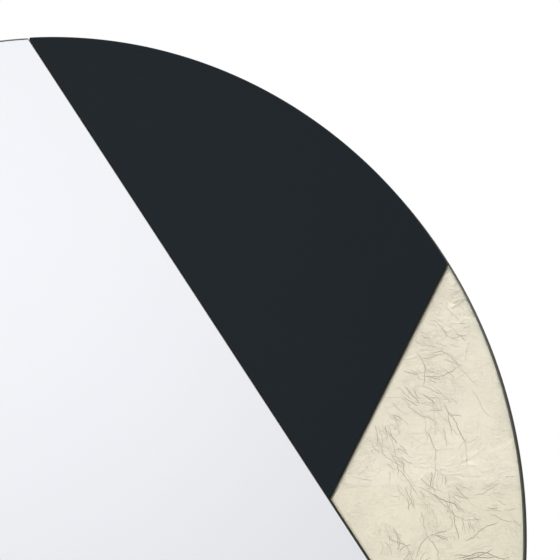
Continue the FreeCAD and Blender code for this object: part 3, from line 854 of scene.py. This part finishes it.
# Spreads within the bundles: angles in degrees, the others as shares of a bundle's length or spacing.
BUNDLE_BEND = 16
WRINKLE_BEND = 14
WRINKLE_HEADING = 7
WRINKLE_SHIFT = 0.22
WRINKLE_SPACING = 0.62
STRONG_SHARE = 0.25
# Single faint wrinkles all over the leaf, with angles in degrees.
FAINT_WRINKLES = 260
FAINT_HEADING = -20
FAINT_SPREAD = 55
FAINT_BEND = 25


def inside_leaf(x, z, margin):
    """True where a point is on the leaf and at least the margin from its sides."""
    for line, sign in PANELS["leaf"][0]:
        normal, offset = inner_side(line, sign, LEAF_INSET + margin)
        if x * math.cos(normal) + z * math.sin(normal) > offset:
            return False
    return math.hypot(x, z) < RADIUS - LEAF_INSET - margin


def wandering_line(start, heading, length, bend, chance):
    """Points along a curve on the leaf, with small kinks. It stops where it would leave the leaf."""
    steps = max(3, round(length / FOLD_STEP))
    x, z = start
    angle = heading
    points = []
    for _ in range(steps + 1):
        if not inside_leaf(x, z, FOLD_MARGIN):
            break
        points.append((x, z))
        angle += bend / steps + chance.gauss(0, LINE_WANDER)
        kink = angle + chance.gauss(0, LINE_KINK)
        x += math.cos(kink) * length / steps
        z += math.sin(kink) * length / steps
    return points


def long_folds(chance):
    """The long folds as (points, half width, strength), as all folds are given."""
    folds = []
    for x, z, heading, length, bend, strength in LONG_FOLDS:
        start = (x * MM, z * MM)
        line = wandering_line(start, math.radians(heading), length * MM, math.radians(bend), chance)
        folds.append((line, (FOLD_HALF_WIDTH + LONG_WIDENING * strength) * MM, LONG_SHADE * strength))
    return folds


def low_bundles(chance, bottom):
    """Random bundles for the part of the leaf below the listed ones."""
    bundles = []
    for _ in range(LOW_BUNDLES):
        bundles.append((
            chance.uniform(400, 490), chance.uniform(bottom / MM, LOW_TOP), chance.uniform(-90, 90),
            chance.uniform(14, 34), chance.randint(3, 8), chance.uniform(1.9, 3.2), chance.uniform(0.3, 0.6),
        ))
    return bundles


def bundle_folds(bundle, chance):
    """The wrinkles of a bundle, side by side in a slight fan."""
    x, z, heading, length, count, apart, strength = bundle
    bend = chance.gauss(0, BUNDLE_BEND)
    lines = 2 * count + 2
    folds = []
    for number in range(lines):
        beside = number - (lines - 1) / 2
        way = math.radians(heading + beside * bend / lines + chance.gauss(0, WRINKLE_HEADING))
        own_length = length * chance.uniform(0.3, 1.25)
        along = -own_length / 2 + chance.gauss(0, length * WRINKLE_SHIFT)
        across = beside * apart * WRINKLE_SPACING + chance.gauss(0, apart * 0.25)
        start = (
            (x + math.cos(way) * along - math.sin(way) * across) * MM,
            (z + math.sin(way) * along + math.cos(way) * across) * MM,
        )
        own_bend = math.radians(bend + chance.gauss(0, WRINKLE_BEND))
        line = wandering_line(start, way, own_length * MM, own_bend, chance)
        strong = chance.random() < STRONG_SHARE
        own_strength = strength * (chance.uniform(0.8, 1.3) if strong else chance.uniform(0.25, 0.6))
        folds.append((line, (FOLD_HALF_WIDTH + WRINKLE_WIDENING * own_strength) * MM, own_strength))
    return folds


def faint_folds(low, high, chance):
    """Faint wrinkles anywhere between the corners of the leaf's box."""
    folds = []
    for _ in range(FAINT_WRINKLES):
        start = (chance.uniform(low.x, high.x), chance.uniform(low.z, high.z) - CENTRE_Z)
        way = math.radians(chance.gauss(FAINT_HEADING, FAINT_SPREAD))
        length = chance.uniform(2, 9) * MM
        line = wandering_line(start, way, length, math.radians(chance.gauss(0, FAINT_BEND)), chance)
        folds.append((line, chance.uniform(0.3, 0.5) * MM, chance.uniform(0.08, 0.3)))
    return folds


def seam_folds(left, right, chance):
    """Short level ridges, with gaps between them, along the seam."""
    folds = []
    x = left
    while x < right:
        length = chance.uniform(4, 16) * MM
        line = wandering_line((x, SEAM_UP + chance.gauss(0, 0.3) * MM), 0.0, length, 0.0, chance)
        folds.append((line, 0.3 * MM, chance.uniform(0.1, 0.4)))
        x += length + chance.uniform(1, 9) * MM
    return folds


def plan_folds():
    """Every fold on the leaf that is long enough to build."""
    chance = random.Random(17)
    low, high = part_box("leaf_sheet")
    folds = long_folds(chance)
    for bundle in BUNDLES + low_bundles(chance, low.z - CENTRE_Z):
        folds += bundle_folds(bundle, chance)
    folds += faint_folds(low, high, chance)
    folds += seam_folds(low.x, high.x, chance)
    return [fold for fold in folds if len(fold[0]) > 2]


def fold_solid(line, half_width, strength, points, faces, shades):
    """Adds a low ridge along the line, its feet sunk in the leaf, that tapers to one point at each end."""
    rise = FOLD_SINK + FOLD_RISE * (FAINTEST_RISE + (1 - FAINTEST_RISE) * min(1.0, strength))
    feet = leaf_depth(*np.array(line).T) + FOLD_SINK
    first = len(points)
    count = len(line)
    points.append(disc_point(*line[0], feet[0]))
    shades.append(0.0)
    for step in range(1, count - 1):
        (x0, z0), (x, z), (x1, z1) = line[step - 1], line[step], line[step + 1]
        along = math.hypot(x1 - x0, z1 - z0)
        side = ((z1 - z0) / along, -(x1 - x0) / along)
        share = step / (count - 1)
        taper = min(1.0, TAPER_SLOPE * math.sin(math.pi * share) + TAPER_START)
        for across, lift, shade in FOLD_SECTION:
            place = (x + side[0] * across * half_width * taper, z + side[1] * across * half_width * taper)
            points.append(disc_point(*place, feet[step] - rise * lift * (0.5 + 0.5 * taper)))
            # the fold attribute: painted shade on one flank and a painted highlight on the other
            shades.append(shade * strength * taper)
    points.append(disc_point(*line[-1], feet[-1]))
    shades.append(0.0)
    sections = count - 2
    last = len(points) - 1
    width = len(FOLD_SECTION)
    for across in range(width):
        beside = (across + 1) % width
        faces.append((first, first + 1 + across, first + 1 + beside))
        for step in range(sections - 1):
            here = first + 1 + width * step
            faces.append((here + across, here + width + across, here + width + beside, here + beside))
        end = first + 1 + width * (sections - 1)
        faces.append((end + beside, end + across, last))


def swell(x, z):
    """Gentle unevenness of the leaf, mostly from -1 to 1, as a sum of waves in many directions."""
    chance = random.Random(5)
    total = np.zeros_like(x)
    weight = 0.0
    for _ in range(SWELL_WAVES):
        length = chance.uniform(SWELL_SHORT, SWELL_LONG) * MM
        way = chance.uniform(0, math.pi)
        size = (length / (SWELL_LONG * MM)) ** SWELL_POWER
        phase = chance.uniform(0, 2 * math.pi)
        total += size * np.sin(2 * math.pi * (x * math.cos(way) + z * math.sin(way)) / length + phase)
        weight += size
    return SWELL_GAIN * total / weight


def leaf_depth(x, z):
    """The Y of the leaf's face at each place, from its swell and the step at its seam."""
    height = 0.5 + 0.5 * np.clip(swell(x, z), -1, 1)
    step = np.where(z < SEAM_UP, 0.0, SEAM_STEP)
    return LEAF_FRONT + FOLD_RISE + SWELL_DEPTH * height + step


def leaf_foil():
    """The leaf: a thin closed sheet with an uneven front, and its folds as ridges on it."""
    outline = panel_outline("leaf", LEAF_INSET)
    chance = random.Random(3)
    low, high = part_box("leaf_sheet")
    flat = [Vector(point) for point in outline]
    rows = int((high.z - low.z) / (LEAF_GRID * ROW_SHARE)) + 1
    columns = int((high.x - low.x) / LEAF_GRID) + 1
    for row in range(rows):
        for column in range(columns):
            x = low.x + (column + 0.5 * (row % 2)) * LEAF_GRID
            x += chance.uniform(-GRID_JITTER, GRID_JITTER) * LEAF_GRID
            z = low.z - CENTRE_Z + row * LEAF_GRID * ROW_SHARE
            z += chance.uniform(-GRID_JITTER, GRID_JITTER) * LEAF_GRID
            if inside_leaf(x, z, 0.5 * LEAF_GRID):
                flat.append(Vector((x, z)))
    count = len(outline)
    border = [(here, (here + 1) % count) for here in range(count)]
    flat, triangles = filled(flat, border)
    plane = np.array([tuple(point) for point in flat])
    points = [disc_point(x, z, y) for (x, z), y in zip(plane, leaf_depth(*plane.T))]
    faces = close_sheet(points, [tuple(triangle) for triangle in triangles])
    shades = [0.0] * len(points)
    for line, half_width, strength in plan_folds():
        fold_solid(line, half_width, strength, points, faces, shades)
    foil = make_object("leaf_foil", points, faces, [leaf_metal()])
    # the folds' painted shade and painted highlight, for the leaf's material
    attribute = foil.data.attributes.new("fold", "FLOAT", "POINT")
    attribute.data.foreach_set("value", np.array(shades, np.float32))
    foil.data.polygons.foreach_set("use_smooth", [True] * len(foil.data.polygons))
    replace_nodes(foil, "metal_leaf", "leaf_sheet")


def close_sheet(points, faces):
    """Adds a flat back and walls to an open sheet. Returns all its faces, with the front ones to -Y."""
    turned = []
    uses = {}
    for face in faces:
        face = looking(face, points, -1)
        turned.append(face)
        for start, end in zip(face, face[1:] + face[:1]):
            uses[(start, end)] = True
    border = {start: end for start, end in uses if (end, start) not in uses}
    order = [next(iter(border))]
    while border[order[-1]] != order[0]:
        order.append(border[order[-1]])
    behind = {}
    for number in order:
        behind[number] = len(points)
        front = points[number]
        points.append(Vector((front.x, LEAF_BACK - LEAF_CLEARANCE, front.z)))
    for start, end in zip(order, order[1:] + order[:1]):
        turned.append((end, start, behind[start], behind[end]))
    turned.append(tuple(behind[number] for number in reversed(order)))
    return turned


# ---------------- the board and its band
ROUND_STEPS = 1440
BAND_CORNER = 0.25 * MM
PILOT_STEPS = 32
# vertices further apart than this belong to different screws
SCREW_APART = 20 * MM
# below this depth under the board's back only a screw's shank is left
SHANK_DEPTH = 1 * MM


def round_outline(radius, steps=ROUND_STEPS, middle=Vector((0, 0))):
    """A circle in (x, z), anticlockwise."""
    return [middle + unit(2 * math.pi * step / steps) * radius for step in range(steps)]


def edge_band():
    """The band as a turned ring with its outer corners trimmed."""
    profile = [
        (BOARD_RADIUS, BOARD_FRONT), (BAND_RADIUS - BAND_CORNER, BOARD_FRONT),
        (BAND_RADIUS, BOARD_FRONT + BAND_CORNER), (BAND_RADIUS, BOARD_BACK - BAND_CORNER),
        (BAND_RADIUS - BAND_CORNER, BOARD_BACK), (BOARD_RADIUS, BOARD_BACK),
    ]
    points = []
    for radius, y in profile:
        points += [disc_point(point.x, point.y, y) for point in round_outline(radius)]
    faces = []
    for level in range(len(profile)):
        start = level * ROUND_STEPS
        following = (level + 1) % len(profile) * ROUND_STEPS
        for here in range(ROUND_STEPS):
            there = (here + 1) % ROUND_STEPS
            faces.append((start + here, following + here, following + there, start + there))
    band = make_object("board_edge_band", points, faces, [band_plastic()])
    shade_walls_smooth(band)
    replace_nodes(band, "edge_band", "edge_band")


def pilot_places():
    """The middles of the board's pilot holes, from the groups of screws."""
    places = []
    for name in ("panel_rail_screws", "batten_screws"):
        points = node_points(name)
        points = points[np.argsort(points[:, 0])]
        gaps = np.flatnonzero(np.diff(points[:, 0]) > SCREW_APART) + 1
        for screw in np.split(points, gaps):
            middle = (screw.min(axis=0) + screw.max(axis=0)) / 2
            places.append((float(middle[0]), float(middle[2] - CENTRE_Z)))
    return places


def backing_board():
    """The board as a disc with its blind pilot holes."""
    screws = node_points("batten_screws")
    bottom = float(screws[:, 1].min())
    shanks = screws[screws[:, 1] < BOARD_BACK - SHANK_DEPTH]
    pilot = float(np.ptp(shanks[:, 2])) / 2
    places = pilot_places()
    rims = [round_outline(BOARD_RADIUS)]
    rims += [round_outline(pilot, PILOT_STEPS, Vector(place)) for place in places]
    flat = []
    border = []
    for rim in rims:
        start = len(flat)
        flat += rim
        border += [(start + here, start + (here + 1) % len(rim)) for here in range(len(rim))]
    count = len(flat)
    flat, triangles = filled(flat, border)
    if len(flat) != count:
        raise RuntimeError("the board's outline changed when it was filled")
    points = [disc_point(point.x, point.y, BOARD_BACK) for point in flat]
    faces = []
    for triangle in triangles:
        middle = sum((flat[number] for number in triangle), Vector((0, 0))) / 3
        if all((middle - Vector(place)).length > pilot for place in places):
            faces.append(looking(tuple(triangle), points, 1))
    start = 0
    for rim in rims:
        outer = start == 0
        depth = BOARD_FRONT if outer else bottom
        behind = len(points)
        points += [disc_point(point.x, point.y, depth) for point in rim]
        ring = len(rim)
        for here in range(ring):
            there = (here + 1) % ring
            wall = (start + here, behind + here, behind + there, start + there)
            faces.append(wall[::-1] if outer else wall)
        cap = tuple(range(behind, behind + ring))
        faces.append(cap if outer else cap[::-1])
        start += ring
    board = make_object("backing_disc", points, faces, [board_face()])
    shade_walls_smooth(board)
    replace_nodes(board, "black_board", "backing_board")


def finish_cad_node(name, material):
    """Gives a carried-over node its finish."""
    mesh = frame["nodes"][name].data
    mesh.materials.clear()
    mesh.materials.append(material)


# ---------------- build
bpy.context.scene.view_settings.view_transform = "Standard"
make_camera()
make_world()
make_floor()
# sizes in metres, power in watts
make_light("high_key", disc_point(-2.4, 2.6, -3.2), size=2.4, power=26.0, in_reflections=False)
make_light("rear_key", disc_point(1.8, 2.2, 3.0), size=2.0, power=38.0, in_reflections=True)

# edge colours: partly the glass edge's own, partly painted shade of the joints; the leaf pane's olive edge is
# a painted reflection of the leaf
rim_finish = ground_edge("ground_edge", (0.060, 0.066, 0.056), (0.115, 0.122, 0.105), 0.4)
leaf_rim_finish = ground_edge("leaf_ground_edge", (0.040, 0.036, 0.022), (0.085, 0.078, 0.050), 0.12)
black_rim_finish = ground_edge("black_ground_edge", (0.012, 0.013, 0.012), (0.030, 0.031, 0.027), 0.05)
mirror_face = clear_glass("mirror_float", (0.985, 0.99, 0.99), (0.975, 0.985, 0.985))
leaf_face = clear_glass("leaf_float", (0.99, 0.995, 0.985), (0.985, 0.993, 0.98))
glass_pane("mirror", mirror_face, rim_finish, silver_coat())
gloss = black_glass()
glass_pane("black", gloss, black_rim_finish, gloss)
glass_pane("leaf", leaf_face, leaf_rim_finish, leaf_face)
leaf_foil()
edge_band()
backing_board()

# dark and light colour, share of grain, roughness, depth of relief in metres, specks to the metre
film = plastic("safety_film_plastic", (0.30, 0.32, 0.34), (0.40, 0.42, 0.44), 0.4, 0.35, 0.00001, 500.0)
foam = plastic("foam_tape_black", (0.020, 0.020, 0.021), (0.045, 0.045, 0.046), 0.8, 0.9, 0.00008, 2200.0)
rubber = plastic("pad_rubber_grain", (0.018, 0.018, 0.018), (0.035, 0.035, 0.035), 0.7, 0.78, 0.00005, 1500.0)
stop = plastic("stop_plastic_grain", (0.022, 0.022, 0.023), (0.042, 0.042, 0.044), 0.6, 0.5, 0.00004, 1300.0)
bead = silicone()
for panel_name in PANELS:
    finish_cad_node(f"{panel_name}_safety_film", film)
    finish_cad_node(f"{panel_name}_tape", foam)
    finish_cad_node(f"{panel_name}_adhesive", bead)
aluminium = mill_aluminium()
zinc = zinc_plate()
pairs = {"wall_rail": aluminium, "panel_rail": aluminium, "panel_rail_screws": zinc, "batten_screws": zinc}
pairs |= {"left_rail_stop": stop, "right_rail_stop": stop, "spacer_batten": hardboard(), "wall_pads": rubber}
for node_name, finish_material in pairs.items():
    finish_cad_node(node_name, finish_material)
